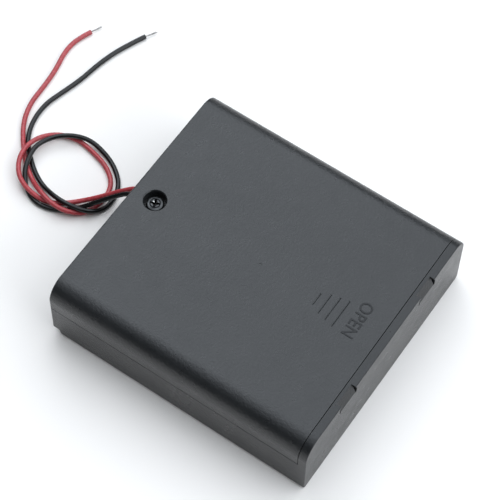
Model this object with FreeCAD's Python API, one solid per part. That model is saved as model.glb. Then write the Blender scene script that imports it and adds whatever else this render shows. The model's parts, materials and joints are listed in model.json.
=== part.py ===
import FreeCAD, Part
import math
import os

V = FreeCAD.Vector

os.makedirs("parts", exist_ok=True)

# The cells that it holds. Millimetres, +X towards the full-height end plate, +Z up
CELL_DIAMETER = 14.5
CELL_LENGTH = 50.5
CELL_GAP = 0.2
CELLS = 4
SPRING_ROOM = 6.2
HEAD_ROOM = 1.4

# How far a cutter reaches past a face, how far joined forms overlap, and how near an edge is picked
BEYOND = 1.0
BITE = 0.3
NEAR = 0.01

# Walls
FLOOR = 1.8
SIDE_WALL = 3.1
REAR_WALL = 2.0
END_PLATE = 2.0
PARTITION = 1.4
COMPARTMENT = 6.9
COVER_WALL = 1.5

# Roundings of the outside
TOP_RADIUS = 4.8
BOTTOM_RADIUS = 1.0
REAR_EDGE_RADIUS = 0.4
FRONT_EDGE_RADIUS = 0.25
CORNER_FILLET = 2.0

# Seam between the cover and the tray
COVER_DEPTH = 7.9
SEAM_GAP = 0.2
END_GAP = 0.16

# Lips of the tray, rails of the cover
LIP_HEIGHT = 3.9
LIP_THICK = 1.35
LIP_CLEAR = 0.25
GROOVE_DEPTH = 0.6
GROOVE_UP = 0.85
RAIL_REACH = 0.55
RAIL_HEIGHT = 0.8
RAIL_CLEAR = 0.25
RAIL_SHORT = 0.5

# Inside of the tray
CRADLE_WIDTH = 1.0
CRADLE_HEIGHT = 4.0
CRADLE_END_GAP = 4.3
CRADLE_ROUND = 0.4
PARTITION_DROP = 3.4
NOTCH_WIDTH = 4.0
NOTCH_DEPTH = 2.8
RELIEF_Z = 2.35
RELIEF_RISER = 2.6
RELIEF_ROUND = 0.4
RELIEF_KNEE = 0.6
LEDGE_TOP = 4.1
LEDGE_WIDTH = 2.1

# Contacts
SHEET = 0.4
SHEET_UP = 0.8
SHEET_DROP = 3.7
SHEET_CLEAR = 0.1
SHEET_CORNER = 0.8
SHEET_EDGE_CLEAR = 0.3
SIDE_EDGE_CLEAR = 0.8
RIB_BAR = 0.8
RIB_BAR_HALF = 1.9
RIB_STEM_HALF = 1.0
RIB_DROP = 4.7
RIB_SIDE = 1.5
DIMPLE_RADIUS = 3.0
DIMPLE_HEIGHT = 0.8
DIMPLE_SIDES = 24
TAB_WIDTH = 3.0
TAB_LENGTH = 2.4
TAB_CLEAR = 0.2
TAB_REACH = 0.4

# Springs
SPRING_WIRE = 0.8
SPRING_BASE = 4.3
SPRING_TIP = 2.6
SPRING_HEIGHT = 6.4
SPRING_TURNS = 3
SPRING_CORNERS = 10
SPRING_FLAT = 0.06

# Arrow and gate mark on the cover
ARROW_PITCH = 2.12
ARROW_FRONT = 12.55
ARROW_HALF = [1.7, 2.8, 3.3, 3.8]
ARROW_Y = -0.2
ARROW_WIDTH = 0.5
ARROW_DEPTH = 0.14
GATE_X = 0.5
GATE_RADIUS = 0.5
GATE_DEPTH = 0.1
GATE_SIDES = 12

# Hooks of the cover and the sprung tongues of the end plate
HOOK_INSET = 13.3
HOOK_HALF = 2.4
HOOK_THICK = 1.3
HOOK_ROOT = 3.0
HOOK_REACH = 0.85
HOOK_CLEAR = 0.25
TONGUE_HALF = 2.9
SLIT_WIDTH = 0.42
SLIT_DEPTH = 0.75
SLIT_DROP = 0.6
SLIT_HEIGHT = 2.4
RAMP_INSET = 1.2
RAMP_HEIGHT = 2.5

# Cover screw and its channel
SCREW_INSET = 6.0
CUP_RADIUS = 2.65
CUP_DEPTH = 2.7
CUP_BOSS = 0.9
CUP_WALL = 1.2
CUP_BEVEL = 0.2
SCREW_HOLE = 1.3
HEAD_RADIUS = 2.1
HEAD_HEIGHT = 1.5
HEAD_EDGE = 0.4
SHANK_RADIUS = 1.1
SHANK_LENGTH = 4.5
SHANK_TIP = 0.3
CROSS_LENGTH = 2.5
CROSS_WIDTH = 0.55
CROSS_DEPTH = 0.9
CHANNEL_HALF = 2.85
CHANNEL_REACH = 2.1
CHANNEL_GAP = 0.4
CHANNEL_SLOT = 1.25
CHANNEL_SLOT_DEPTH = 3.9

# Slide switch in the underside
SWITCH_INSET = 15.4
SWITCH_LENGTH = 8.6
SWITCH_WIDTH = 4.4
SWITCH_HEIGHT = 3.2
SWITCH_SKIN = 0.3
SWITCH_ROUND = 0.5
BOARD = 1.0
KNOB_REST = -1.0
KNOB_TRAVEL = 2.0
KNOB_LENGTH = 2.2
KNOB_WIDTH = 1.6
KNOB_SUNK = 0.5
KNOB_CLEAR = 0.15
KNOB_BEVEL = 0.25
WINDOW_CLEAR = 0.5
SLIDER_LENGTH = 4.0
SLIDER_HEIGHT = 1.5
SLIDER_CLEAR = 0.2
WIPER_WIDTH = 1.2
WIPER_LENGTH = 3.2
WIPER_STRIP = 0.4
WIPER_FOOT = 0.7
WIPER_HEIGHT = 0.6
TERMINAL_PITCH = 2.5
TERMINAL_WIDTH = 1.2
TERMINAL_THICK = 0.4
TERMINAL_LENGTH = 3.6
TERMINAL_PAD = 1.6
TERMINAL_PAD_THICK = 0.4
FINGER_LENGTH = 11.0
FINGER_WIDTH = 6.0
FINGER_DEPTH = 0.5
FINGER_ROUND = 1.5

# Wires and solder
WIRE_SIDES = 6
LEAD_DIAMETER = 1.2
HOLE_CLEAR = 0.15
HOLE_DROP = 3.1
LEAD_INSET = 7.4
LEAD_PITCH = 2.6
WIRE_OFF = 0.85
LANE_OFF = 1.15
BEND_SHARE = 0.45
TAB_STUB = 1.53
PIN_STUB = 0.77
BLACK_RUN = 2.3
BLACK_TURN = 8.4
RED_RUN = 3.06
JUMPER_RUN = 1.68
BEND_JUMPER = 1.1
END_TRIM = 2.0
BEND_SMALL = 1.5
BEND_WIDE = 3.0
TIP_DIAMETER = 0.45
TIP_GAP = 0.04
SOLDER_SIZE = 1.8
SOLDER_EDGE = 0.25
SOLDER_SIDES = 8

# Ways of the two free leads over the table, chosen by eye from the picture.
# X counts from the rear wall, and the first point is the hole that the lead leaves
RED_WAY = [
    (0.0, 6.6, 8.0), (-3.5, 6.3, 7.6), (-7.0, 4.1, 5.6), (-10.5, 1.3, 3.3), (-14.2, -1.3, 1.3),
    (-17.8, -4.3, 0.6), (-21.8, -6.8, 0.7), (-26.6, -7.1, 2.4), (-30.7, -5.3, 2.4),
    (-33.5, -1.8, 2.3), (-34.5, 2.4, 2.3), (-33.5, 6.9, 1.6), (-30.5, 10.6, 0.6),
    (-25.8, 11.9, 0.6), (-21.1, 11.1, 0.6), (-16.0, 9.7, 0.6), (-12.2, 6.9, 0.6), (-10.8, 3.2, 0.6),
    (-11.1, -0.3, 0.6), (-12.4, -4.1, 0.6), (-15.7, -6.9, 1.8), (-19.7, -7.5, 2.6),
    (-23.9, -5.8, 2.3), (-28.1, -3.6, 0.6), (-32.7, -0.4, 0.6), (-36.7, 3.4, 0.6),
    (-40.3, 8.3, 0.6), (-42.2, 13.8, 0.6), (-42.5, 19.5, 0.6), (-43.0, 25.0, 0.6),
    (-44.3, 30.5, 0.6), (-43.9, 35.5, 0.6), (-42.3, 39.1, 0.6)]
RED_END = (-40.8, 42.2, 0.6)
BLACK_WAY = [
    (0.0, 4.0, 8.0), (-4.0, 3.5, 7.4), (-7.5, 1.6, 5.1), (-11.0, -1.0, 2.8), (-14.8, -4.4, 0.8),
    (-18.9, -7.4, 0.6), (-23.6, -8.2, 0.6), (-27.5, -6.6, 0.6), (-30.6, -3.4, 1.6),
    (-32.4, 0.1, 2.3), (-33.1, 4.2, 2.3), (-30.9, 8.6, 2.3), (-27.3, 11.2, 2.3), (-23.1, 13.0, 1.6),
    (-18.2, 12.4, 0.6), (-13.8, 10.4, 0.6), (-10.2, 7.2, 0.6), (-8.9, 3.2, 0.6), (-9.3, -0.8, 0.6),
    (-11.5, -3.8, 2.1), (-15.8, -5.0, 2.6), (-20.1, -4.2, 2.1), (-25.1, -3.1, 0.6),
    (-29.3, -0.8, 0.6), (-33.3, 2.1, 0.6), (-36.3, 5.3, 0.6), (-38.5, 10.0, 0.6),
    (-39.1, 15.6, 0.6), (-37.7, 21.0, 0.6), (-36.0, 26.5, 0.6), (-35.3, 32.0, 0.6),
    (-34.1, 37.2, 0.6), (-32.1, 42.2, 0.6), (-30.4, 45.8, 0.6)]
BLACK_END = (-28.7, 48.7, 0.6)

# Sizes that follow from the ones above
CELL_PITCH = CELL_DIAMETER + CELL_GAP
BAY_HALF = CELLS * CELL_PITCH / 2
BAY_LENGTH = CELL_LENGTH + SPRING_ROOM
CASE_LENGTH = REAR_WALL + COMPARTMENT + PARTITION + BAY_LENGTH + END_PLATE
CASE_WIDTH = 2 * (BAY_HALF + SIDE_WALL)
CASE_HEIGHT = FLOOR + CELL_DIAMETER + HEAD_ROOM + COVER_WALL
CELL_Y = [(k - (CELLS - 1) / 2) * CELL_PITCH for k in range(CELLS)]
CELL_AXIS_Z = FLOOR + CELL_DIAMETER / 2
HALF = CASE_WIDTH / 2
X_REAR = -CASE_LENGTH / 2
X_FRONT = CASE_LENGTH / 2
PLATE_X = X_FRONT - END_PLATE
WALL_X = X_REAR + REAR_WALL
BAY_REAR = PLATE_X - BAY_LENGTH
PARTITION_REAR = BAY_REAR - PARTITION
CEILING = CASE_HEIGHT - COVER_WALL
SEAM_Z = CASE_HEIGHT - COVER_DEPTH
SHOULDER_Z = SEAM_Z - SEAM_GAP
LIP_TOP = SHOULDER_Z + LIP_HEIGHT
LIP_OUTER = BAY_HALF + LIP_THICK
FLANGE_INNER = LIP_OUTER + LIP_CLEAR
LIP_REAR = WALL_X - LIP_CLEAR
GROOVE_LOW = SHOULDER_Z + GROOVE_UP
GROOVE_HIGH = GROOVE_LOW + RAIL_HEIGHT + 2 * RAIL_CLEAR
PARTITION_TOP = CEILING - PARTITION_DROP
NOTCH_Z = PARTITION_TOP - NOTCH_DEPTH
SHEET_LOW = FLOOR + SHEET_UP
SHEET_HIGH = CEILING - SHEET_DROP
RIB_TOP = CEILING - RIB_DROP
TAB_Z = NOTCH_Z + TAB_CLEAR
TAB_DROP = TAB_Z - TAB_LENGTH
TAB_FACE = PARTITION_REAR - TAB_REACH - SHEET
COVER_FRONT = PLATE_X - END_GAP
ARROW_X = [X_FRONT - ARROW_FRONT - k * ARROW_PITCH for k in (3, 2, 1, 0)]
HOOK_Y = BAY_HALF - HOOK_INSET
HOOK_LOW = CEILING - HOOK_THICK
SCREW_X = X_REAR + SCREW_INSET
CUP_FLOOR = CASE_HEIGHT - CUP_DEPTH
CUP_BOTTOM = CUP_FLOOR - CUP_BOSS
CHANNEL_REAR = SCREW_X - CHANNEL_REACH
CHANNEL_TOP = CUP_BOTTOM - CHANNEL_GAP
CHANNEL_SLOT_Z = CHANNEL_TOP - CHANNEL_SLOT_DEPTH
SHANK_END = CUP_FLOOR - SHANK_LENGTH
SWITCH_X = (WALL_X + LEDGE_WIDTH + PARTITION_REAR) / 2
SWITCH_Y = BAY_HALF - SWITCH_INSET
RED_Y = SWITCH_Y - LEAD_INSET
BLACK_Y = RED_Y - LEAD_PITCH
SWITCH_TOP = FLOOR + SWITCH_HEIGHT
TERMINAL_TOP = SWITCH_TOP + BOARD + TERMINAL_LENGTH
SLIDER_LOW = FLOOR + SWITCH_SKIN + SLIDER_CLEAR
SLIDER_TOP = SLIDER_LOW + SLIDER_HEIGHT
LEAD_Z = SHOULDER_Z - HOLE_DROP
LANE_X = WALL_X + LANE_OFF


def block(x0, x1, y0, y1, z0, z1):
    return Part.makeBox(x1 - x0, y1 - y0, z1 - z0, V(x0, y0, z0))


def post(x, y, z0, z1, radius):
    return Part.makeCylinder(radius, z1 - z0, V(x, y, z0), V(0, 0, 1))


def ring(place, way, radius, sides):
    # A few-sided stand-in for a small circle: radius is measured to its corners
    across = way.cross(V(0, 0, 1))
    if across.Length < NEAR:
        across = V(1, 0, 0)
    across = across.normalize() * radius
    turn = FreeCAD.Rotation(way, 360 / sides)
    corners = [across]
    for k in range(sides - 1):
        corners.append(turn.multVec(corners[-1]))
    return Part.makePolygon([place + c for c in corners + [across]])


def wire_ring(place, way, diameter):
    return ring(place, way, diameter / 2, WIRE_SIDES)


def joined(shapes):
    first = shapes[0]
    rest = shapes[1:]
    if rest:
        first = first.fuse(rest)
    return first.removeSplitter()


def along(edge, axis):
    if not isinstance(edge.Curve, Part.Line):
        return False
    a = edge.Vertexes[0].Point
    b = edge.Vertexes[-1].Point
    step = b - a
    step.normalize()
    return abs(abs(step.dot(axis)) - 1) < 1e-6


def section_bar(x0, x1, half, low, high, r_top, r_low):
    # A bar along X with rounded long edges
    bar = block(x0, x1, -half, half, low, high)
    long_edges = [e for e in bar.Edges if along(e, V(1, 0, 0))]
    top = [e for e in long_edges if e.CenterOfMass.z > (low + high) / 2]
    if r_top > 0:
        bar = bar.makeFillet(r_top, top)
    if r_low > 0:
        long_edges = [e for e in bar.Edges if along(e, V(1, 0, 0))]
        bottom = [e for e in long_edges if e.CenterOfMass.z < low + NEAR]
        bar = bar.makeFillet(r_low, bottom)
    return bar


def envelope():
    body = section_bar(X_REAR, X_FRONT, HALF, 0, CASE_HEIGHT, TOP_RADIUS, BOTTOM_RADIUS)
    rear = [e for e in body.Edges if e.BoundBox.XMax < X_REAR + NEAR]
    body = body.makeFillet(REAR_EDGE_RADIUS, rear)
    front = [e for e in body.Edges if e.BoundBox.XMin > X_FRONT - NEAR]
    return body.makeFillet(FRONT_EDGE_RADIUS, front)


def xz_prism(points, y0, y1):
    # A prism between two Y planes; a point given as a pair of points is an arc's middle and end
    edges = []
    here = V(points[0][0], y0, points[0][1])
    first = here
    for item in points[1:]:
        if len(item) == 2 and isinstance(item[0], tuple):
            mid = V(item[0][0], y0, item[0][1])
            end = V(item[1][0], y0, item[1][1])
            edges.append(Part.Arc(here, mid, end).toShape())
        else:
            end = V(item[0], y0, item[1])
            edges.append(Part.makeLine(here, end))
        here = end
    edges.append(Part.makeLine(here, first))
    face = Part.Face(Part.Wire(edges))
    return face.extrude(V(0, y1 - y0, 0))


def relief_cut():
    # The stepped-back lower edge of the rear wall, rounded at its mouth and at its knee
    foot = X_REAR + RELIEF_RISER
    behind = X_REAR - BEYOND
    mouth = RELIEF_ROUND * (1 - math.sqrt(0.5))
    knee = RELIEF_KNEE * math.sqrt(0.5)
    knee_x = foot - 2 * RELIEF_KNEE
    knee_z = RELIEF_Z - RELIEF_KNEE
    pts = [
        (behind, -BEYOND),
        (behind, RELIEF_Z + RELIEF_ROUND),
        (X_REAR, RELIEF_Z + RELIEF_ROUND),
        ((X_REAR + mouth, RELIEF_Z + mouth), (X_REAR + RELIEF_ROUND, RELIEF_Z)),
        (knee_x, RELIEF_Z),
        ((knee_x + knee, knee_z + knee), (knee_x + RELIEF_KNEE, knee_z)),
        (foot, 0),
        (foot, -BEYOND)]
    return xz_prism(pts, -HALF - BEYOND, HALF + BEYOND)


def contact_ribs():
    # T-shaped and L-shaped ribs that the edges of the contact sheets slide in behind
    ribs = []
    front_bar = PLATE_X - SHEET - 2 * SHEET_CLEAR
    rear_bar = BAY_REAR + SHEET + 2 * SHEET_CLEAR
    ribs.append(block(front_bar - RIB_BAR, PLATE_X, -RIB_STEM_HALF, RIB_STEM_HALF, FLOOR, RIB_TOP))
    ribs.append(block(front_bar - RIB_BAR, front_bar, -RIB_BAR_HALF, RIB_BAR_HALF, FLOOR, RIB_TOP))
    for y in (-CELL_PITCH, CELL_PITCH):
        stem = block(BAY_REAR, rear_bar + RIB_BAR, y - RIB_STEM_HALF, y + RIB_STEM_HALF, FLOOR, RIB_TOP)
        bar = block(rear_bar, rear_bar + RIB_BAR, y - RIB_BAR_HALF, y + RIB_BAR_HALF, FLOOR, RIB_TOP)
        ribs += [stem, bar]
    for side in (-1, 1):
        y0, y1 = sorted((side * BAY_HALF, side * (BAY_HALF - RIB_SIDE)))
        ribs.append(block(front_bar - RIB_BAR, front_bar, y0, y1, FLOOR, RIB_TOP))
        ribs.append(block(rear_bar, rear_bar + RIB_BAR, y0, y1, FLOOR, RIB_TOP))
    return ribs


def end_plate_cuts():
    # Pockets for the cover's hooks, and outside them a sloped tongue between two slits
    cuts = []
    pocket = HOOK_HALF + HOOK_CLEAR
    above = CASE_HEIGHT + BEYOND
    ramp_low = CASE_HEIGHT - RAMP_HEIGHT
    slope = RAMP_INSET / RAMP_HEIGHT
    for y in (-HOOK_Y, HOOK_Y):
        cuts.append(block(PLATE_X - BEYOND, PLATE_X + HOOK_REACH, y - pocket, y + pocket,
                          HOOK_LOW - HOOK_CLEAR, CEILING + HOOK_CLEAR))
        ramp = [(X_FRONT - RAMP_INSET - slope * BEYOND, above), (X_FRONT + BEYOND, above),
                (X_FRONT + BEYOND, ramp_low), (X_FRONT, ramp_low)]
        cuts.append(xz_prism(ramp, y - TONGUE_HALF, y + TONGUE_HALF))
        for side in (-1, 1):
            y0, y1 = sorted((y + side * TONGUE_HALF, y + side * (TONGUE_HALF + SLIT_WIDTH)))
            top = CASE_HEIGHT - SLIT_DROP
            cuts.append(block(X_FRONT - SLIT_DEPTH, X_FRONT + BEYOND, y0, y1, top - SLIT_HEIGHT, top))
    return cuts


def bay_block():
    # The tray's outer block with its full-height end plate and its two lips
    body = envelope()
    wide = HALF + BEYOND
    above = CASE_HEIGHT + BEYOND
    low = body.common(block(X_REAR - BEYOND, PLATE_X, -wide, wide, -BEYOND, SHOULDER_Z))
    plate = body.common(block(PLATE_X, X_FRONT + BEYOND, -wide, wide, -BEYOND, above))
    lips = [block(LIP_REAR, PLATE_X, BAY_HALF, LIP_OUTER, SHOULDER_Z - BITE, LIP_TOP),
            block(LIP_REAR, PLATE_X, -LIP_OUTER, -BAY_HALF, SHOULDER_Z - BITE, LIP_TOP)]
    tray = joined([low, plate] + lips)
    bay = section_bar(BAY_REAR, PLATE_X, BAY_HALF, FLOOR, above, 0, CORNER_FILLET)
    compartment = block(WALL_X, PARTITION_REAR, -BAY_HALF, BAY_HALF, FLOOR, above)
    return tray.cut([bay, compartment])


def tray_inside():
    # Partition, ledge, screw channel, cradle ribs and the switch's stops
    adds = [block(PARTITION_REAR, BAY_REAR, -BAY_HALF, BAY_HALF, FLOOR, PARTITION_TOP)]
    adds.append(block(WALL_X, WALL_X + LEDGE_WIDTH, -BAY_HALF, BAY_HALF, FLOOR, LEDGE_TOP))
    adds.append(block(CHANNEL_REAR, PARTITION_REAR, -CHANNEL_HALF, CHANNEL_HALF, FLOOR, CHANNEL_TOP))
    half = CRADLE_WIDTH / 2
    for k in range(1, CELLS):
        y = -BAY_HALF + k * CELL_PITCH
        rib = block(BAY_REAR + CRADLE_END_GAP, PLATE_X - CRADLE_END_GAP, y - half, y + half,
                    FLOOR, FLOOR + CRADLE_HEIGHT)
        crest = [e for e in rib.Edges if along(e, V(1, 0, 0)) and e.CenterOfMass.z > FLOOR + NEAR]
        adds.append(rib.makeFillet(CRADLE_ROUND, crest))
    gap = SWITCH_LENGTH / 2 + SLIDER_CLEAR
    for side in (-1, 1):
        y0, y1 = sorted((SWITCH_Y + side * gap, SWITCH_Y + side * (gap + RIB_BAR)))
        adds.append(block(WALL_X + LEDGE_WIDTH, PARTITION_REAR, y0, y1, FLOOR, LEDGE_TOP))
    return adds + contact_ribs()


def switch_cuts():
    # Window for the knob's travel and the shallow finger recess round it
    reach_x = KNOB_WIDTH / 2 + WINDOW_CLEAR
    reach_y = (KNOB_LENGTH + KNOB_TRAVEL) / 2 + WINDOW_CLEAR
    window = block(SWITCH_X - reach_x, SWITCH_X + reach_x, SWITCH_Y - reach_y, SWITCH_Y + reach_y,
                   -BEYOND, FLOOR + NEAR)
    finger = block(SWITCH_X - FINGER_WIDTH / 2, SWITCH_X + FINGER_WIDTH / 2, SWITCH_Y - FINGER_LENGTH / 2,
                   SWITCH_Y + FINGER_LENGTH / 2, -BEYOND, FINGER_DEPTH)
    upright = [e for e in finger.Edges if along(e, V(0, 0, 1))]
    return [window, finger.makeFillet(FINGER_ROUND, upright)]


def case_tray():
    tray = joined([bay_block()] + tray_inside())
    cuts = [relief_cut()] + switch_cuts() + end_plate_cuts()
    for side in (-1, 1):
        y0, y1 = sorted((side * (LIP_OUTER - GROOVE_DEPTH), side * (LIP_OUTER + LIP_CLEAR)))
        cuts.append(block(LIP_REAR - BEYOND, PLATE_X, y0, y1, GROOVE_LOW, GROOVE_HIGH))
        y = side * CELL_Y[-1]
        cuts.append(block(PARTITION_REAR - BEYOND, BAY_REAR + BEYOND, y - NOTCH_WIDTH / 2,
                          y + NOTCH_WIDTH / 2, NOTCH_Z, PARTITION_TOP + BEYOND))
    cuts.append(block(CHANNEL_REAR - BEYOND, SCREW_X + CHANNEL_SLOT, -CHANNEL_SLOT, CHANNEL_SLOT,
                      CHANNEL_SLOT_Z, CHANNEL_TOP + BEYOND))
    hole = LEAD_DIAMETER / 2 + HOLE_CLEAR
    for y in (RED_Y, BLACK_Y):
        start = V(X_REAR - BEYOND, y, LEAD_Z)
        cuts.append(Part.makeCylinder(hole, REAR_WALL + 2 * BEYOND, start, V(1, 0, 0)))
    return tray.cut(cuts).removeSplitter()


def arrow_line(x, half):
    # A V-shaped groove across the cover's way of sliding
    reach = ARROW_WIDTH / 2
    pts = [(x - reach, CASE_HEIGHT), (x, CASE_HEIGHT - ARROW_DEPTH), (x + reach, CASE_HEIGHT),
           (x + reach, CASE_HEIGHT + BEYOND), (x - reach, CASE_HEIGHT + BEYOND)]
    return xz_prism(pts, ARROW_Y - half, ARROW_Y + half)


def cover():
    wide = HALF + BEYOND
    above = CASE_HEIGHT + BEYOND
    shell = envelope().common(block(X_REAR - BEYOND, COVER_FRONT, -wide, wide, SEAM_Z, above))
    hollow = section_bar(X_REAR + COVER_WALL, COVER_FRONT + BEYOND, FLANGE_INNER, SEAM_Z - BEYOND, CEILING,
                         TOP_RADIUS - COVER_WALL, 0)
    shell = shell.cut(hollow)
    adds = [post(SCREW_X, 0, CUP_BOTTOM, CEILING + BITE, CUP_RADIUS + CUP_WALL)]
    rail_low = GROOVE_LOW + RAIL_CLEAR
    for side in (-1, 1):
        y0, y1 = sorted((side * (FLANGE_INNER - RAIL_REACH), side * (FLANGE_INNER + BITE)))
        adds.append(block(WALL_X, PLATE_X - RAIL_SHORT, y0, y1, rail_low, rail_low + RAIL_HEIGHT))
        y = side * HOOK_Y
        root = COVER_FRONT - HOOK_ROOT
        adds.append(block(root, PLATE_X + HOOK_REACH - HOOK_CLEAR, y - HOOK_HALF, y + HOOK_HALF,
                          HOOK_LOW, CEILING))
        adds.append(block(root, COVER_FRONT, y - HOOK_HALF, y + HOOK_HALF, HOOK_LOW, CEILING + BITE))
    shell = joined([shell] + adds)
    cuts = [post(SCREW_X, 0, CUP_FLOOR, above, CUP_RADIUS)]
    cuts.append(post(SCREW_X, 0, CUP_BOTTOM - BEYOND, CUP_FLOOR + BEYOND, SCREW_HOLE))
    cuts.append(Part.makeCone(CUP_RADIUS, CUP_RADIUS + 2 * CUP_BEVEL, 2 * CUP_BEVEL,
                              V(SCREW_X, 0, CASE_HEIGHT - CUP_BEVEL)))
    for x, half in zip(ARROW_X, ARROW_HALF):
        cuts.append(arrow_line(x, half))
    up = V(0, 0, BEYOND + GATE_DEPTH)
    gate = ring(V(GATE_X, ARROW_Y, CASE_HEIGHT - GATE_DEPTH), up, GATE_RADIUS, GATE_SIDES)
    cuts.append(Part.Face(gate).extrude(up))
    return shell.cut(cuts).removeSplitter()


def cover_screw():
    head = post(SCREW_X, 0, CUP_FLOOR, CUP_FLOOR + HEAD_HEIGHT, HEAD_RADIUS)
    top = CUP_FLOOR + HEAD_HEIGHT
    rim = [e for e in head.Edges if e.BoundBox.ZMin > top - NEAR]
    head = head.makeChamfer(HEAD_EDGE, rim)
    shank = post(SCREW_X, 0, SHANK_END, CUP_FLOOR + BITE, SHANK_RADIUS)
    end = [e for e in shank.Edges if e.BoundBox.ZMax < SHANK_END + NEAR]
    shank = shank.makeChamfer(SHANK_TIP, end)
    slots = []
    for long, wide in ((CROSS_LENGTH, CROSS_WIDTH), (CROSS_WIDTH, CROSS_LENGTH)):
        slots.append(block(SCREW_X - long / 2, SCREW_X + long / 2, -wide / 2, wide / 2,
                           top - CROSS_DEPTH, top + BEYOND))
    return joined([head, shank]).cut(slots)


def front_sheet(y0, y1):
    x1 = PLATE_X - SHEET_CLEAR
    return block(x1 - SHEET, x1, y0, y1, SHEET_LOW, SHEET_HIGH)


def rear_sheet(y0, y1):
    x0 = BAY_REAR + SHEET_CLEAR
    return block(x0, x0 + SHEET, y0, y1, SHEET_LOW, SHEET_HIGH)


def dimple(x, y, towards):
    # The raised spot that meets a cell's positive end
    way = V(towards * DIMPLE_HEIGHT, 0, 0)
    place = V(x, y, CELL_AXIS_Z)
    foot = ring(place, way, DIMPLE_RADIUS, DIMPLE_SIDES)
    crest = ring(place + way, way, DIMPLE_RADIUS - DIMPLE_HEIGHT, DIMPLE_SIDES)
    return Part.makeLoft([foot, crest], True, True)


def rounded_sheet(sheet):
    corners = [e for e in sheet.Edges if along(e, V(1, 0, 0))]
    return sheet.makeFillet(SHEET_CORNER, corners)


def solder_tab(y):
    # A strip of the terminal sheet, bent over the partition and down behind it
    half = TAB_WIDTH / 2
    over = block(TAB_FACE, BAY_REAR + SHEET_CLEAR + SHEET / 2, y - half, y + half, TAB_Z, TAB_Z + SHEET)
    down = block(TAB_FACE, TAB_FACE + SHEET, y - half, y + half, TAB_DROP, TAB_Z + SHEET)
    return [over, down]


def contact_front(side, dimple_cell):
    near = RIB_STEM_HALF + SHEET_EDGE_CLEAR
    y0, y1 = sorted((side * near, side * (BAY_HALF - SIDE_EDGE_CLEAR)))
    sheet = rounded_sheet(front_sheet(y0, y1))
    return joined([sheet, dimple(PLATE_X - SHEET_CLEAR - SHEET, CELL_Y[dimple_cell], -1)])


def contact_rear_bridge():
    inner = CELL_PITCH - RIB_STEM_HALF - SHEET_EDGE_CLEAR
    sheet = rounded_sheet(rear_sheet(-inner, inner))
    return joined([sheet, dimple(BAY_REAR + SHEET_CLEAR + SHEET, CELL_Y[1], 1)])


def contact_terminal(side):
    near = CELL_PITCH + RIB_STEM_HALF + SHEET_EDGE_CLEAR
    y0, y1 = sorted((side * near, side * (BAY_HALF - SIDE_EDGE_CLEAR)))
    parts = [rounded_sheet(rear_sheet(y0, y1))] + solder_tab(side * CELL_Y[-1])
    if side > 0:
        parts.append(dimple(BAY_REAR + SHEET_CLEAR + SHEET, CELL_Y[-1], 1))
    return joined(parts)


def coil(y, x_face, towards):
    # A conical coil that stands on a contact, with its first turn ground flat against it
    count = SPRING_TURNS * SPRING_CORNERS
    low = SPRING_WIRE / 2 - SPRING_FLAT
    points = []
    for k in range(count + 1):
        t = k / count
        angle = 2 * math.pi * k / SPRING_CORNERS
        radius = SPRING_BASE + (SPRING_TIP - SPRING_BASE) * t
        rise = low + (SPRING_HEIGHT - SPRING_WIRE) * t
        points.append(V(x_face + towards * rise, y + radius * math.sin(angle),
                        CELL_AXIS_Z + radius * math.cos(angle)))
    path = Part.makePolygon(points)
    return path.makePipeShell([wire_ring(points[0], points[1] - points[0], SPRING_WIRE)], True, False, 1)


def switch_frame():
    hx = SWITCH_WIDTH / 2
    hy = SWITCH_LENGTH / 2
    can = block(SWITCH_X - hx, SWITCH_X + hx, SWITCH_Y - hy, SWITCH_Y + hy, FLOOR, SWITCH_TOP)
    upright = [e for e in can.Edges if along(e, V(0, 0, 1))]
    can = can.makeFillet(SWITCH_ROUND, upright)
    inside = block(SWITCH_X - hx + SWITCH_SKIN, SWITCH_X + hx - SWITCH_SKIN, SWITCH_Y - hy + SWITCH_SKIN,
                   SWITCH_Y + hy - SWITCH_SKIN, FLOOR + SWITCH_SKIN, SWITCH_TOP + BEYOND)
    sx = KNOB_WIDTH / 2 + KNOB_CLEAR
    sy = KNOB_LENGTH / 2 + KNOB_TRAVEL / 2 + KNOB_CLEAR
    slot = block(SWITCH_X - sx, SWITCH_X + sx, SWITCH_Y - sy, SWITCH_Y + sy, FLOOR - BEYOND, FLOOR + BEYOND)
    return can.cut([inside, slot])


def switch_base():
    hx = SWITCH_WIDTH / 2
    hy = SWITCH_LENGTH / 2
    board = block(SWITCH_X - hx, SWITCH_X + hx, SWITCH_Y - hy, SWITCH_Y + hy, SWITCH_TOP, SWITCH_TOP + BOARD)
    upright = [e for e in board.Edges if along(e, V(0, 0, 1))]
    board = board.makeFillet(SWITCH_ROUND, upright)
    slots = []
    for k in (-1, 0, 1):
        y = SWITCH_Y + k * TERMINAL_PITCH
        slots.append(block(SWITCH_X - TERMINAL_WIDTH / 2, SWITCH_X + TERMINAL_WIDTH / 2,
                           y - TERMINAL_THICK / 2, y + TERMINAL_THICK / 2, SWITCH_TOP - BEYOND,
                           SWITCH_TOP + BOARD + BEYOND))
    return board.cut(slots)


def switch_terminal(k):
    y = SWITCH_Y + k * TERMINAL_PITCH
    low = SWITCH_TOP - TERMINAL_PAD_THICK
    pin = block(SWITCH_X - TERMINAL_WIDTH / 2, SWITCH_X + TERMINAL_WIDTH / 2, y - TERMINAL_THICK / 2,
                y + TERMINAL_THICK / 2, low, TERMINAL_TOP)
    half = TERMINAL_PAD / 2
    pad = block(SWITCH_X - half, SWITCH_X + half, y - half, y + half, low, SWITCH_TOP)
    return joined([pin, pad])


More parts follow.
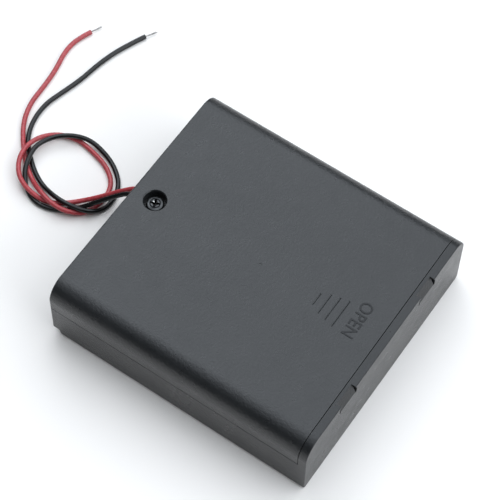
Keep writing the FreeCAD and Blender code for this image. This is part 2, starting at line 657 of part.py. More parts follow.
def switch_knob():
    y = SWITCH_Y + KNOB_REST
    reach = SWITCH_WIDTH / 2 - SWITCH_SKIN - KNOB_CLEAR
    slider = block(SWITCH_X - reach, SWITCH_X + reach, y - SLIDER_LENGTH / 2, y + SLIDER_LENGTH / 2,
                   SLIDER_LOW, SLIDER_TOP)
    stem = block(SWITCH_X - KNOB_WIDTH / 2, SWITCH_X + KNOB_WIDTH / 2, y - KNOB_LENGTH / 2,
                 y + KNOB_LENGTH / 2, KNOB_SUNK, SLIDER_LOW + BITE)
    lower = [e for e in stem.Edges if e.BoundBox.ZMax < KNOB_SUNK + NEAR]
    return joined([slider, stem.makeChamfer(KNOB_BEVEL, lower)])


def switch_wiper():
    # A strip on the slider with two raised feet under the terminals
    y = SWITCH_Y + KNOB_REST
    half_x = WIPER_WIDTH / 2
    half_y = WIPER_LENGTH / 2
    strip = block(SWITCH_X - half_x, SWITCH_X + half_x, y - half_y, y + half_y, SLIDER_TOP,
                  SLIDER_TOP + WIPER_STRIP)
    feet = []
    for y0 in (y - half_y, y + half_y - WIPER_FOOT):
        feet.append(block(SWITCH_X - half_x, SWITCH_X + half_x, y0, y0 + WIPER_FOOT, SLIDER_TOP,
                          SLIDER_TOP + WIPER_HEIGHT))
    return joined([strip] + feet)


def tube(points, diameter, radii=None):
    # Straight runs joined by tangent arcs, swept with a round section
    pts = [V(*p) for p in points]
    edges = []
    here = pts[0]
    length = 0.0
    smallest = math.inf
    for k in range(1, len(pts) - 1):
        back = pts[k - 1] - pts[k]
        on = pts[k + 1] - pts[k]
        l1 = back.Length
        l2 = on.Length
        e1 = V(back).normalize()
        e2 = V(on).normalize()
        turn = math.pi - e1.getAngle(e2)
        if radii:
            radius = radii[k - 1]
            cut = radius * math.tan(turn / 2)
        else:
            cut = BEND_SHARE * min(l1, l2)
            radius = cut / math.tan(turn / 2)
        smallest = min(smallest, radius)
        q1 = pts[k] + e1 * cut
        q2 = pts[k] + e2 * cut
        bis = V(e1 + e2).normalize()
        centre = pts[k] + bis * (radius / math.cos(turn / 2))
        middle = centre - bis * radius
        edges.append(Part.LineSegment(here, q1).toShape())
        length += (q1 - here).Length
        edges.append(Part.Arc(q1, middle, q2).toShape())
        length += radius * turn
        here = q2
    edges.append(Part.LineSegment(here, pts[-1]).toShape())
    length += (pts[-1] - here).Length
    path = Part.Wire(edges)
    solid = path.makePipeShell([wire_ring(pts[0], pts[1] - pts[0], diameter)], True, False)
    ratio = solid.Volume / (math.pi * diameter ** 2 / 4 * length)
    print("tube length %.1f smallest radius %.2f volume ratio %.4f" % (length, smallest, ratio))
    return solid


def tip(end, far, diameter):
    step = V(*far) - V(*end)
    start = V(*end) + step * (TIP_GAP / step.Length)
    return Part.Face(wire_ring(start, step, diameter)).extrude(step)


def solder(x_face, y, z):
    # A bead that holds a wire running along Y against a face that looks towards -X
    half = SOLDER_SIZE / 2
    bead = block(x_face - 2 * WIRE_OFF, x_face, y - half, y + half, z - half, z + half)
    far = [e for e in bead.Edges if e.BoundBox.XMax < x_face - WIRE_OFF]
    bead = bead.makeChamfer(SOLDER_EDGE, far)
    through = V(0, 2 * SOLDER_SIZE, 0)
    reach = LEAD_DIAMETER / 2 / math.cos(math.pi / SOLDER_SIDES)
    hole = ring(V(x_face - WIRE_OFF, y - SOLDER_SIZE, z), through, reach, SOLDER_SIDES)
    return bead.cut(Part.Face(hole).extrude(through))


def from_rear(points):
    # A lead's way in the part's own frame, from its list that counts X from the rear wall
    return [(X_REAR + x, y, z) for x, y, z in points]


def lead_way(points, exit_y):
    # The first point is the hole in the rear wall, wherever that comes
    return [(X_REAR, exit_y, LEAD_Z)] + from_rear(points[1:])


def save(name, shape):
    solids = shape.Solids
    print("%-26s solids %d valid %s volume %.1f" % (name, len(solids), shape.isValid(), shape.Volume))
    if len(solids) == 1:
        shape = solids[0]
    shape.exportStep(os.path.join("parts", name + ".step"))


def save_case():
    save("case_tray", case_tray())
    save("cover", cover())
    save("cover_screw", cover_screw())


def save_contacts():
    front_face = PLATE_X - SHEET_CLEAR - SHEET
    rear_face = BAY_REAR + SHEET_CLEAR + SHEET
    bridge_1 = contact_front(-1, 0)
    bridge_2 = contact_front(1, 2)
    bridge_rear = contact_rear_bridge()
    negative = contact_terminal(-1)
    positive = contact_terminal(1)
    save("contact_bridge_front_1", bridge_1)
    save("contact_bridge_front_2", bridge_2)
    save("contact_bridge_rear", bridge_rear)
    save("contact_terminal_negative", negative)
    save("contact_terminal_positive", positive)
    seats = [(rear_face, 1, negative), (front_face, -1, bridge_1), (rear_face, 1, bridge_rear),
             (front_face, -1, bridge_2)]
    for k, (face, towards, sheet) in enumerate(seats):
        save("spring_cell_%d" % (k + 1), coil(CELL_Y[k], face, towards).cut(sheet))


def save_switch():
    save("switch_frame", switch_frame())
    save("switch_base", switch_base())
    save("switch_knob", switch_knob())
    save("switch_wiper", switch_wiper())
    for k in (-1, 0, 1):
        save("switch_terminal_%d" % (k + 2), switch_terminal(k))


def save_wires():
    tab_y = CELL_Y[-1]
    tab_z = TAB_DROP + TAB_LENGTH / 4
    wire_x = TAB_FACE - WIRE_OFF
    pin_face = SWITCH_X - TERMINAL_WIDTH / 2
    pin_x = pin_face - WIRE_OFF
    pin_z = TERMINAL_TOP - TERMINAL_LENGTH / 4
    pin_y = SWITCH_Y + TERMINAL_PITCH
    black = [(wire_x, -tab_y - TAB_STUB, tab_z), (wire_x, -tab_y + BLACK_RUN, tab_z),
             (LANE_X, -tab_y + BLACK_TURN, LEAD_Z), (LANE_X, BLACK_Y, LEAD_Z), (X_REAR, BLACK_Y, LEAD_Z)]
    red = [(pin_x, SWITCH_Y + PIN_STUB, pin_z), (pin_x, SWITCH_Y - RED_RUN, pin_z),
           (LANE_X, RED_Y + RED_RUN, LEAD_Z), (LANE_X, RED_Y, LEAD_Z), (X_REAR, RED_Y, LEAD_Z)]
    jumper = [(wire_x, tab_y + TAB_STUB, tab_z), (wire_x, tab_y - JUMPER_RUN, tab_z),
              (pin_x, pin_y + JUMPER_RUN, pin_z), (pin_x, pin_y - PIN_STUB, pin_z)]
    save("lead_black_inner", tube(black, LEAD_DIAMETER, [BEND_WIDE, BEND_WIDE, LANE_OFF]))
    save("lead_red_inner", tube(red, LEAD_DIAMETER, [BEND_SMALL, BEND_SMALL, LANE_OFF]))
    save("jumper_wire", tube(jumper, LEAD_DIAMETER, [BEND_JUMPER, BEND_JUMPER]))
    beads = [solder(TAB_FACE, -tab_y, tab_z), solder(TAB_FACE, tab_y, tab_z),
             solder(pin_face, SWITCH_Y, pin_z), solder(pin_face, pin_y, pin_z)]
    save("solder_joints", Part.makeCompound(beads))


def free_lead(way, exit_y):
    # Trimmed square where it meets its own run through the wall
    inside = block(X_REAR, X_REAR + END_TRIM, exit_y - END_TRIM, exit_y + END_TRIM,
                   LEAD_Z - END_TRIM, LEAD_Z + END_TRIM)
    return tube(lead_way(way, exit_y), LEAD_DIAMETER).cut(inside)


def save_leads():
    save("lead_red", free_lead(RED_WAY, RED_Y))
    save("lead_black", free_lead(BLACK_WAY, BLACK_Y))
    red_end = from_rear([RED_WAY[-1], RED_END])
    black_end = from_rear([BLACK_WAY[-1], BLACK_END])
    save("lead_red_tip", tip(red_end[0], red_end[1], TIP_DIAMETER))
    save("lead_black_tip", tip(black_end[0], black_end[1], TIP_DIAMETER))


save_case()
save_contacts()
save_switch()
save_wires()
save_leads()
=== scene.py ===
import json
import math
import random

import bmesh
import bpy
from mathutils import Matrix, Vector


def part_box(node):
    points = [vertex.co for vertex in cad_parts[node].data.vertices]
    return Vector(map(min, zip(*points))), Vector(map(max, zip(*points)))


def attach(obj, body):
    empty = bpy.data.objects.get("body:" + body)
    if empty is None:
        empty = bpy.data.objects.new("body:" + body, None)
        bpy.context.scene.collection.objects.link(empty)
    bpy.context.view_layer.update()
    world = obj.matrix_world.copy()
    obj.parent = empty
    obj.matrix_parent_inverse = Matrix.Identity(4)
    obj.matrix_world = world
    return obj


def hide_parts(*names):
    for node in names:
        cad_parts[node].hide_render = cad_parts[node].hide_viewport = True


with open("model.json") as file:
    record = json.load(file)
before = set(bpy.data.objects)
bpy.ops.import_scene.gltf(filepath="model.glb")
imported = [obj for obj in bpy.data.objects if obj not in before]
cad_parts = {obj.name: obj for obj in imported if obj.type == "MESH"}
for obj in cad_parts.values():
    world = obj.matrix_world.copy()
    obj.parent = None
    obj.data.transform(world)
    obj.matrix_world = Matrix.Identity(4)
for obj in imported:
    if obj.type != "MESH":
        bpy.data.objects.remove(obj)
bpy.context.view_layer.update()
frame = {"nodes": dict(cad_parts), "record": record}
nodes = frame["nodes"]

MM = 0.001

# Camera, found from the corners, seam, screw and notches of the case
CAMERA_PLACE = (0.11539, -0.18322, 0.41534)
CAMERA_RIGHT = (0.8258, 0.5638, 0.0154)
CAMERA_BACK = (0.2624, -0.4081, 0.8744)
CAMERA_LENS = 145.4
CAMERA_REACH = 20.0
SENSOR = 36.0

# Light: softboxes with their place and size in metres, power in watts and lean about Y in degrees
SKY_COLOR = (0.9, 0.95, 1.0, 1)
SKY_STRENGTH = 0.12
LIGHTS = [
    ("overhead", (0.45, 0.62, 1.15), (3.4, 1.7), 38.0, 0),
    ("rear", (-1.0, 0.6, 1.2), (0.9, 1.2), 4.5, 0),
    ("strip", (-0.10, -0.45, 1.30), (1.0, 0.7), 2.6, 0),
    ("fill", (1.1, -0.1, 0.6), (0.7, 0.7), 4.6, 61)]
LIGHT_COLOR = (0.87, 0.93, 1.0)

# White paper under the case, its reach in metres
PAPER_REACH = 3.0
PAPER_SQUARES = 2
PAPER_COLOR = (0.96, 0.92, 0.88, 1)
PAPER_ROUGHNESS = 0.9

# Noise: its roughness, and where between the darker and the lighter tone it begins and ends
NOISE_ROUGHNESS = 0.55
TONE_PLACES = (0.3, 0.7)

# Kinds of surface: the scale and detail of the noises for tone and for roughness, whether it is metal,
# and the scale, detail and depth in metres of each bump
PLASTIC = ((60.0, 4.0), (260.0, 5.0), 0.0, [(4200.0, 2.0, 0.00006), (1700.0, 2.0, 0.00009)])
PVC = ((700.0, 3.0), (1500.0, 3.0), 0.0, [(2600.0, 2.0, 0.00005)])
BOARD = ((1400.0, 5.0), None, 0.0, [(4000.0, 2.0, 0.00003)])
STEEL = ((900.0, 4.0), (1800.0, 4.0), 1.0, [(3600.0, 2.0, 0.00002)])
# Noise for the bright steel that is painted glint
GLINT = ((1500.0, 4.0), (3000.0, 4.0), 1.0, [(6000.0, 2.0, 0.00002)])
PLATE = ((400.0, 4.0), (800.0, 4.0), 1.0, [(1600.0, 2.0, 0.00002)])
CAN = ((500.0, 4.0), (1000.0, 4.0), 1.0, [(2000.0, 2.0, 0.00002)])

# Surfaces: kind, darker and lighter tone, least and greatest roughness, strength of the bumps, gloss
SURFACES = {
    "tray_plastic": (PLASTIC, (0.010, 0.011, 0.012), (0.014, 0.015, 0.016), (0.2, 0.4), 0.8, 0.43),
    "cover_plastic": (PLASTIC, (0.010, 0.011, 0.012), (0.014, 0.015, 0.016), (0.2, 0.4), 0.9, 0.5),
    # Lettering: its darker tones are painted shade, standing for the shade in sunk strokes
    "mark_plastic_painted_shade": (PLASTIC, (0.008, 0.009, 0.010), (0.013, 0.014, 0.015), (0.36, 0.46), 0.6, 0.33),
    "knob_plastic": (PLASTIC, (0.02, 0.02, 0.021), (0.028, 0.028, 0.03), (0.35, 0.45), 0.2, 0.5),
    "red_insulation": (PVC, (0.36, 0.038, 0.046), (0.46, 0.055, 0.064), (0.22, 0.32), 0.25, 0.5),
    "black_insulation": (PVC, (0.003, 0.003, 0.003), (0.006, 0.006, 0.006), (0.12, 0.2), 0.25, 0.38),
    "switch_board": (BOARD, (0.16, 0.07, 0.025), (0.3, 0.15, 0.06), (0.45, 0.45), 0.1, 0.5),
    "screw_steel": (STEEL, (0.04, 0.042, 0.043), (0.10, 0.102, 0.104), (0.32, 0.45), 0.12, 0.5),
    # Cross recess: its very dark tones are painted shade
    "recess_painted_shade_steel": (STEEL, (0.01, 0.01, 0.011), (0.02, 0.02, 0.021), (0.4, 0.5), 0.12, 0.5),
    # Countersink: its bright tones are painted glint
    "painted_glint_steel": (GLINT, (0.18, 0.18, 0.18), (0.6, 0.59, 0.56), (0.2, 0.35), 0.12, 0.5),
    "contact_plate": (PLATE, (0.62, 0.61, 0.58), (0.75, 0.74, 0.7), (0.18, 0.3), 0.12, 0.5),
    "spring_wire": (STEEL, (0.6, 0.59, 0.56), (0.74, 0.73, 0.7), (0.15, 0.28), 0.12, 0.5),
    "switch_can": (CAN, (0.5, 0.5, 0.48), (0.66, 0.66, 0.63), (0.3, 0.45), 0.12, 0.5),
    "tinned_copper": (STEEL, (0.34, 0.335, 0.32), (0.55, 0.54, 0.52), (0.25, 0.4), 0.12, 0.5),
    "fine_strands": (STEEL, (0.11, 0.106, 0.1), (0.36, 0.35, 0.33), (0.25, 0.4), 0.12, 0.5)}

# Leads, in millimetres: the ways of the solids, nudged a little closer to the picture
LEAD_DIAMETER = 1.2
RED_WAY = [
    (-34.5, 6.6, 8.0), (-38.0, 6.0, 7.4), (-41.5, 3.9, 5.5), (-45.0, 1.3, 3.3), (-48.7, -1.3, 1.3),
    (-52.3, -4.3, 0.6), (-56.3, -6.8, 0.7), (-61.1, -7.1, 2.4), (-65.2, -5.3, 2.4),
    (-68.0, -1.8, 2.3), (-69.0, 2.4, 2.3), (-68.0, 6.9, 1.6), (-65.0, 10.6, 0.6),
    (-60.3, 11.9, 0.6), (-55.6, 11.1, 0.6), (-50.5, 9.7, 0.6), (-46.7, 6.9, 0.6), (-45.3, 3.2, 0.6),
    (-45.6, -0.3, 0.6), (-47.0, -4.1, 0.6), (-50.3, -6.6, 2.0), (-54.2, -7.0, 2.6),
    (-58.4, -5.8, 2.3), (-62.6, -3.6, 0.6), (-67.2, -0.4, 0.6), (-70.9, 3.6, 0.6),
    (-74.5, 8.5, 0.6), (-76.3, 13.9, 0.6), (-76.5, 19.5, 0.6), (-77.1, 25.0, 0.6),
    (-78.5, 30.6, 0.6), (-78.3, 35.2, 0.6), (-76.7, 39.1, 0.6)]
RED_END = (-75.3, 42.2, 0.6)
BLACK_WAY = [
    (-34.5, 4.0, 8.0), (-38.5, 3.9, 7.6), (-42.0, 1.9, 5.3), (-45.5, -0.9, 2.9), (-49.3, -4.4, 0.8),
    (-53.4, -7.4, 0.6), (-58.1, -8.2, 0.6), (-62.0, -6.6, 0.6), (-65.1, -3.4, 1.6),
    (-66.4, 0.1, 2.3), (-67.1, 4.1, 2.3), (-65.1, 8.3, 2.3), (-61.8, 11.2, 2.3), (-57.6, 13.0, 1.6),
    (-52.7, 12.4, 0.6), (-48.3, 10.4, 0.6), (-44.7, 7.2, 0.6), (-43.4, 3.2, 0.6),
    (-43.8, -0.8, 0.6), (-46.0, -3.8, 2.1), (-50.3, -5.0, 2.6), (-54.5, -4.9, 2.1),
    (-59.8, -3.4, 0.6), (-64.0, -1.1, 0.6), (-67.8, 2.1, 0.6), (-70.8, 5.3, 0.6),
    (-72.7, 10.0, 0.6), (-73.1, 15.6, 0.6), (-71.7, 20.7, 0.6), (-70.2, 26.4, 0.6),
    (-69.5, 31.9, 0.6), (-68.3, 37.1, 0.6), (-66.4, 42.1, 0.6), (-64.8, 45.7, 0.6)]
BLACK_END = (-63.1, 48.6, 0.6)
WIRE_BEVEL = 5
WIRE_STEPS = 10
WIRE_ORDER = 3

# Stripped ends, in millimetres and radians: strands that start inside the skin, twist and flare
STRANDS = 4
STRAND_DIAMETER = 0.1
STRAND_INSIDE = 0.4
STRAND_SHORTEST = 0.82
STRAND_TWIST = 2.6
STRAND_FLARE = 0.9
STRAND_POINTS = 8
STRAND_BEVEL = 2
STRAND_STEPS = 6
RED_SEED = 3
BLACK_SEED = 8

# Wiring inside the case, in millimetres: the insulated runs, then the bare ends in their solder
BLACK_INNER = [
    (-27.1, -20.9, 9.9), (-27.3, -19.6, 9.9), (-29.0, -16.9, 9.2), (-30.6, -14.4, 8.4),
    (-31.2, -11.2, 8.1), (-30.9, -7.4, 8.2), (-31.3, -3.6, 8.0), (-31.4, -1.0, 8.0),
    (-31.35, 1.7, 8.0), (-31.35, 4.0, 8.0), (-33.65, 4.0, 8.0), (-34.5, 4.0, 8.0)]
RED_INNER = [
    (-29.3, 12.8, 8.7), (-29.4, 11.8, 8.7), (-30.2, 10.6, 8.4), (-31.35, 9.9, 8.1),
    (-31.35, 8.6, 8.0), (-31.35, 6.6, 8.0), (-33.65, 6.6, 8.0), (-34.5, 6.6, 8.0)]
JUMPER = [
    (-27.1, 20.9, 9.9), (-27.3, 20.0, 9.9), (-28.3, 19.0, 9.4), (-29.2, 18.5, 8.8), (-29.3, 17.6, 8.7)]
BARE_ENDS = [
    ("black_bare_end", (-26.9, -22.3, 9.9), BLACK_INNER[0]),
    ("red_bare_end", (-29.0, 14.0, 8.7), RED_INNER[0]),
    ("jumper_bare_end_1", (-26.9, 22.3, 9.9), JUMPER[0]),
    ("jumper_bare_end_2", (-29.0, 16.5, 8.7), JUMPER[-1])]
BARE_DIAMETER = 0.5
BARE_INSIDE = 0.3

# Solder: outlines as share of the width and of the reach, then each bead's foot, half width,
# half height, reach and outline
TAB_BEAD = [(1.0, 0.0), (0.84, 0.08), (0.74, 0.22), (0.64, 0.45), (0.48, 0.7), (0.3, 0.88), (0.1, 1.0)]
PIN_BEAD = [(0.35, 0.0), (0.72, 0.1), (0.95, 0.3), (1.0, 0.5), (0.86, 0.7), (0.6, 0.87), (0.2, 1.0)]
SOLDER_BEADS = [
    ((-26.4, -22.1, 10.1), 1.35, 0.85, 1.15, TAB_BEAD),
    ((-26.4, 22.1, 10.1), 1.3, 0.9, 1.1, TAB_BEAD),
    ((-28.2, 14.0, 8.7), 0.75, 0.95, 1.25, PIN_BEAD),
    ((-28.2, 16.5, 8.7), 0.8, 0.9, 1.2, PIN_BEAD)]
SOLDER_SIDES = 24

# Lettering on the cover, in millimetres, and the share of the font's size that a capital fills
WORD_X = 25.8
WORD_Y = 0.66
WORD_TURN = -90
LETTER_HEIGHT = 3.0
LETTER_SHARE = 0.70
LETTER_NARROW = 0.86
LETTER_GAP = 1.06
LETTER_RISE = 0.05
LETTER_EDGE = 0.05
LETTER_BOLD = -0.02
LETTER_BEVEL = 2
LETTER_STEPS = 8

# Cover screw's shank, in millimetres, with the share of its radius left at the tip
SCREW_X = -28.5
SHANK_RADIUS = 1.1
SHANK_CORE = 0.85
SHANK_LOW = 12.0
SHANK_INTO_HEAD = 0.05
SHANK_TIP = 0.35
SHANK_TAPER = 1.0
SHANK_SIDES = 48
SHANK_STEPS = 60
THREAD_PITCH = 0.9
THREAD_SHARPNESS = 4

# Cover screw's head, in millimetres
HEAD_LOW = 16.5
HEAD_HIGH = 18.0
HEAD_RADIUS = 2.1
HEAD_FOOT = 0.6
HEAD_BEVEL = 0.06
HEAD_WALL = 0.85
HEAD_ROUND = 0.5
HEAD_ROUND_ANGLE = 80
HEAD_ROUND_STEPS = 8
HEAD_CROWN_STEPS = 5
HEAD_SIDES = 64
HEAD_SHARP_ANGLE = 35

# Cross in the head, in millimetres: the cutter's two ends as height over the head's top and shares
# of length and width, then the countersink, the reach of the recess's painted shade and the slopes
# that get painted glint
CROSS_LENGTH = 2.5
CROSS_WIDTH = 0.55
CROSS_TURN = 21.0
CROSS_ENDS = [(-0.95, 0.35, 0.7), (0.3, 1.12, 1.1)]
SINK_RADIUS = 0.75
SINK_FOOT = 0.25
SINK_DEPTH = 0.4
SINK_SIDES = 12
RECESS_UNDER_TOP = 0.06
RECESS_OVER_FOOT = 0.1
# Slopes of the countersink that get painted glint
GLINT_SLOPES = (0.2, 0.9)

# Contact springs, in millimetres
CELLS = 4
CELL_PITCH = 14.7
CELL_AXIS_Z = 9.05
SPRING_WIRE = 0.8
SPRING_BASE = 4.3
SPRING_TIP = 2.6
SPRING_TURNS = 3
SPRING_CORNERS = 16
SPRING_BEVEL = 4
SPRING_STEPS = 3
SPRING_ORDER = 4


def new_material(name):
    mat = bpy.data.materials.new(name)
    mat.use_nodes = True
    return mat, mat.node_tree.nodes["Principled BSDF"]


def noise(tree, scale, detail):
    node = tree.nodes.new("ShaderNodeTexNoise")
    node.inputs["Scale"].default_value = scale
    node.inputs["Detail"].default_value = detail
    node.inputs["Roughness"].default_value = NOISE_ROUGHNESS
    coords = tree.nodes.new("ShaderNodeTexCoord")
    tree.links.new(coords.outputs["Object"], node.inputs["Vector"])
    return node.outputs["Fac"]


def two_tones(tree, source, dark, light):
    node = tree.nodes.new("ShaderNodeValToRGB")
    for item, place, color in zip(node.color_ramp.elements, TONE_PLACES, (dark, light)):
        item.position = place
        item.color = (*color, 1)
    tree.links.new(source, node.inputs["Fac"])
    return node.outputs["Color"]


def spread(tree, source, low, high):
    node = tree.nodes.new("ShaderNodeMapRange")
    node.inputs["To Min"].default_value = low
    node.inputs["To Max"].default_value = high
    tree.links.new(source, node.inputs["Value"])
    return node.outputs["Result"]


def stack_bumps(tree, shader, bumps, strength):
    last = None
    for scale, detail, depth in bumps:
        node = tree.nodes.new("ShaderNodeBump")
        node.inputs["Strength"].default_value = strength
        node.inputs["Distance"].default_value = depth
        tree.links.new(noise(tree, scale, detail), node.inputs["Height"])
        if last:
            tree.links.new(last, node.inputs["Normal"])
        last = node.outputs["Normal"]
    tree.links.new(last, shader.inputs["Normal"])


def surface(name, kind, dark, light, rough, strength, gloss):
    # Faint clouds of two close tones and uneven roughness over a fine even grain
    tone, sheen, metallic, bumps = kind
    mat, shader = new_material(name)
    tree = mat.node_tree
    tree.links.new(two_tones(tree, noise(tree, *tone), dark, light), shader.inputs["Base Color"])
    if sheen:
        tree.links.new(spread(tree, noise(tree, *sheen), *rough), shader.inputs["Roughness"])
    else:
        shader.inputs["Roughness"].default_value = rough[0]
    shader.inputs["Metallic"].default_value = metallic
    shader.inputs["Specular IOR Level"].default_value = gloss
    stack_bumps(tree, shader, bumps, strength)
    return mat


materials = {name: surface(name, *row) for name, row in SURFACES.items()}


def dress_nodes():
    # Every solid that stays gets its slot's procedural material
    for entry in frame["record"]["subparts"]:
        obj = nodes[entry["node"]]
        obj.data.materials.clear()
        obj.data.materials.append(materials[entry["material_slot"]])


def new_object(name, data, material):
    obj = bpy.data.objects.new(name, data)
    bpy.context.scene.collection.objects.link(obj)
    data.materials.append(material)
    return obj


def new_mesh_object(name, bm, material, smooth):
    mesh = bpy.data.meshes.new(name)
    bm.to_mesh(mesh)
    bm.free()
    for polygon in mesh.polygons:
        polygon.use_smooth = smooth
    return new_object(name, mesh, material)


def stitch(bm, rows):
    # Joins rings of points into a closed surface
    rings = []
    for row in rows:
        rings.append([bm.verts.new(point) for point in row])
    for low, high in zip(rings[:-1], rings[1:]):
        for k in range(len(low)):
            n = (k + 1) % len(low)
            bm.faces.new((low[k], low[n], high[n], high[k]))
    bm.faces.new(list(reversed(rings[0])))
    bm.faces.new(rings[-1])


def new_wire_curve(name, diameter, bevel, steps):
    curve = bpy.data.curves.new(name, "CURVE")
    curve.dimensions = "3D"
    curve.bevel_depth = diameter / 2 * MM
    curve.bevel_resolution = bevel
    curve.resolution_u = steps
    curve.use_fill_caps = True
    return curve


def add_spline(curve, way, order):
    spline = curve.splines.new("NURBS")
    spline.points.add(len(way) - 1)
    for point, place in zip(spline.points, way):
        point.co = (place[0] * MM, place[1] * MM, place[2] * MM, 1)
    spline.order_u = order
    spline.use_endpoint_u = True


def wire(name, way, diameter, material):
    curve = new_wire_curve(name, diameter, WIRE_BEVEL, WIRE_STEPS)
    add_spline(curve, way, WIRE_ORDER)
    obj = new_object(name, curve, materials[material])
    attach(obj, "case")
    return obj


def wire_for(node, name, way, material):
    obj = wire(name, way, LEAD_DIAMETER, material)
    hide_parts(node)
    return obj


def strands(name, node, end, far, seed):
    # All but the last strand lie in a ring about it
    random.seed(seed)
    run = Vector(far) - Vector(end)
    axis = run.normalized()
    side = axis.cross(Vector((0, 0, 1))).normalized()
    lift = side.cross(axis).normalized()
    start = Vector(end) - axis * STRAND_INSIDE
    curve = new_wire_curve(name, STRAND_DIAMETER, STRAND_BEVEL, STRAND_STEPS)
    for k in range(STRANDS):
        start_angle = 2 * math.pi * k / (STRANDS - 1)
        ring = 0.0 if k == STRANDS - 1 else STRAND_DIAMETER
        reach = random.uniform(STRAND_SHORTEST, 1.0)
        way = []
        for s in range(STRAND_POINTS + 1):
            t = s / STRAND_POINTS
            angle = start_angle + STRAND_TWIST * t
            out = ring * (1 + STRAND_FLARE * t * t)
            place = start + (run * reach + axis * STRAND_INSIDE) * t
            way.append(place + side * math.cos(angle) * out + lift * math.sin(angle) * out)
        add_spline(curve, way, WIRE_ORDER)
    obj = new_object(name, curve, materials["fine_strands"])
    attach(obj, "case")
    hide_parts(node)
    return obj


def add_leads():
    red_tip = strands("red_strands", "lead_red_tip", RED_WAY[-1], RED_END, RED_SEED)
    black_tip = strands("black_strands", "lead_black_tip", BLACK_WAY[-1], BLACK_END, BLACK_SEED)
    red = wire_for("lead_red", "red_lead", RED_WAY, "red_insulation")
    black = wire_for("lead_black", "black_lead", BLACK_WAY, "black_insulation")


def solder_rows(foot, wide, high, reach, outline):
    rows = []
    for share, out in outline:
        x = foot[0] - reach * out
        row = []
        for k in range(SOLDER_SIDES):
            angle = 2 * math.pi * k / SOLDER_SIDES
            y = foot[1] + wide * share * math.sin(angle)
            z = foot[2] + high * share * math.cos(angle)
            row.append((x * MM, y * MM, z * MM))
        rows.append(row)
    return rows


def add_wiring():
    # The fixed runs inside, their stripped ends and the solder that holds them
    wire_for("lead_black_inner", "black_inner_run", BLACK_INNER, "black_insulation")
    wire_for("lead_red_inner", "red_inner_run", RED_INNER, "red_insulation")
    wire_for("jumper_wire", "jumper_run", JUMPER, "red_insulation")
    for name, joint, skin in BARE_ENDS:
        start = Vector(joint)
        end = Vector(skin) + (Vector(skin) - start).normalized() * BARE_INSIDE
        wire(name, [start, (start + end) / 2, end], BARE_DIAMETER, "tinned_copper")
    bm = bmesh.new()
    for bead in SOLDER_BEADS:
        stitch(bm, solder_rows(*bead))
    beads = new_mesh_object("solder_beads", bm, materials["tinned_copper"], True)
    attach(beads, "case")
    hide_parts("solder_joints")


def add_word():
    # The generic word beside the arrow, raised from the cover, its darker tone painted shade
    curve = bpy.data.curves.new("open_word", "FONT")
    curve.body = "OPEN"
    curve.align_x = "CENTER"
    curve.align_y = "CENTER"
    curve.size = LETTER_HEIGHT / LETTER_SHARE * MM
    curve.space_character = LETTER_GAP
    curve.offset = LETTER_BOLD * MM
    curve.extrude = LETTER_RISE * MM
    curve.bevel_depth = LETTER_EDGE * MM
    curve.bevel_resolution = LETTER_BEVEL
    curve.resolution_u = LETTER_STEPS
    obj = new_object("open_word", curve, materials["mark_plastic_painted_shade"])
    obj.scale = (LETTER_NARROW, 1, 1)
    obj.location = (WORD_X * MM, WORD_Y * MM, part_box("cover")[1].z)
    obj.rotation_euler = (0, 0, math.radians(WORD_TURN))
    bpy.context.view_layer.update()
    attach(obj, "lid")


def screw_ring(radii, z):
    # A ring of points about the screw's axis, one for each radius
    ring = []
    for k, radius in enumerate(radii):
        angle = 2 * math.pi * k / len(radii)
        x = SCREW_X + radius * math.cos(angle)
        ring.append((x * MM, radius * math.sin(angle) * MM, z * MM))
    return ring


def thread_radius(height, turn):
    phase = (height / THREAD_PITCH - turn) % 1.0
    crest = max(0.0, 1 - abs(phase - 0.5) * THREAD_SHARPNESS)
    taper = min(1.0, SHANK_TIP + height / SHANK_TAPER)
    return (SHANK_CORE + (SHANK_RADIUS - SHANK_CORE) * crest) * taper


def add_shank():
    rows = []
    length = HEAD_LOW + SHANK_INTO_HEAD - SHANK_LOW
    for s in range(SHANK_STEPS + 1):
        height = length * s / SHANK_STEPS
        radii = [thread_radius(height, k / SHANK_SIDES) for k in range(SHANK_SIDES)]
        rows.append(screw_ring(radii, SHANK_LOW + height))
    bm = bmesh.new()
    stitch(bm, rows)
    shank = new_mesh_object("screw_thread", bm, materials["screw_steel"], True)
    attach(shank, "screw")
    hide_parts("cover_screw")


def head_profile():
    # Radius and height, from the foot up the wall, over the shoulder and on to the crown
    wall = HEAD_LOW + HEAD_WALL
    profile = [
        (HEAD_FOOT, HEAD_LOW), (HEAD_RADIUS - HEAD_BEVEL, HEAD_LOW),
        (HEAD_RADIUS, HEAD_LOW + HEAD_BEVEL), (HEAD_RADIUS, wall)]
    for k in range(1, HEAD_ROUND_STEPS + 1):
        angle = math.radians(HEAD_ROUND_ANGLE * k / HEAD_ROUND_STEPS)
        radius = HEAD_RADIUS - HEAD_ROUND + HEAD_ROUND * math.cos(angle)
        profile.append((radius, wall + HEAD_ROUND * math.sin(angle)))
    radius, height = profile[-1]
    for k in range(1, HEAD_CROWN_STEPS):
        left = 1 - k / HEAD_CROWN_STEPS
        profile.append((radius * left, height + (HEAD_HIGH - height) * (1 - left ** 2)))
    return profile


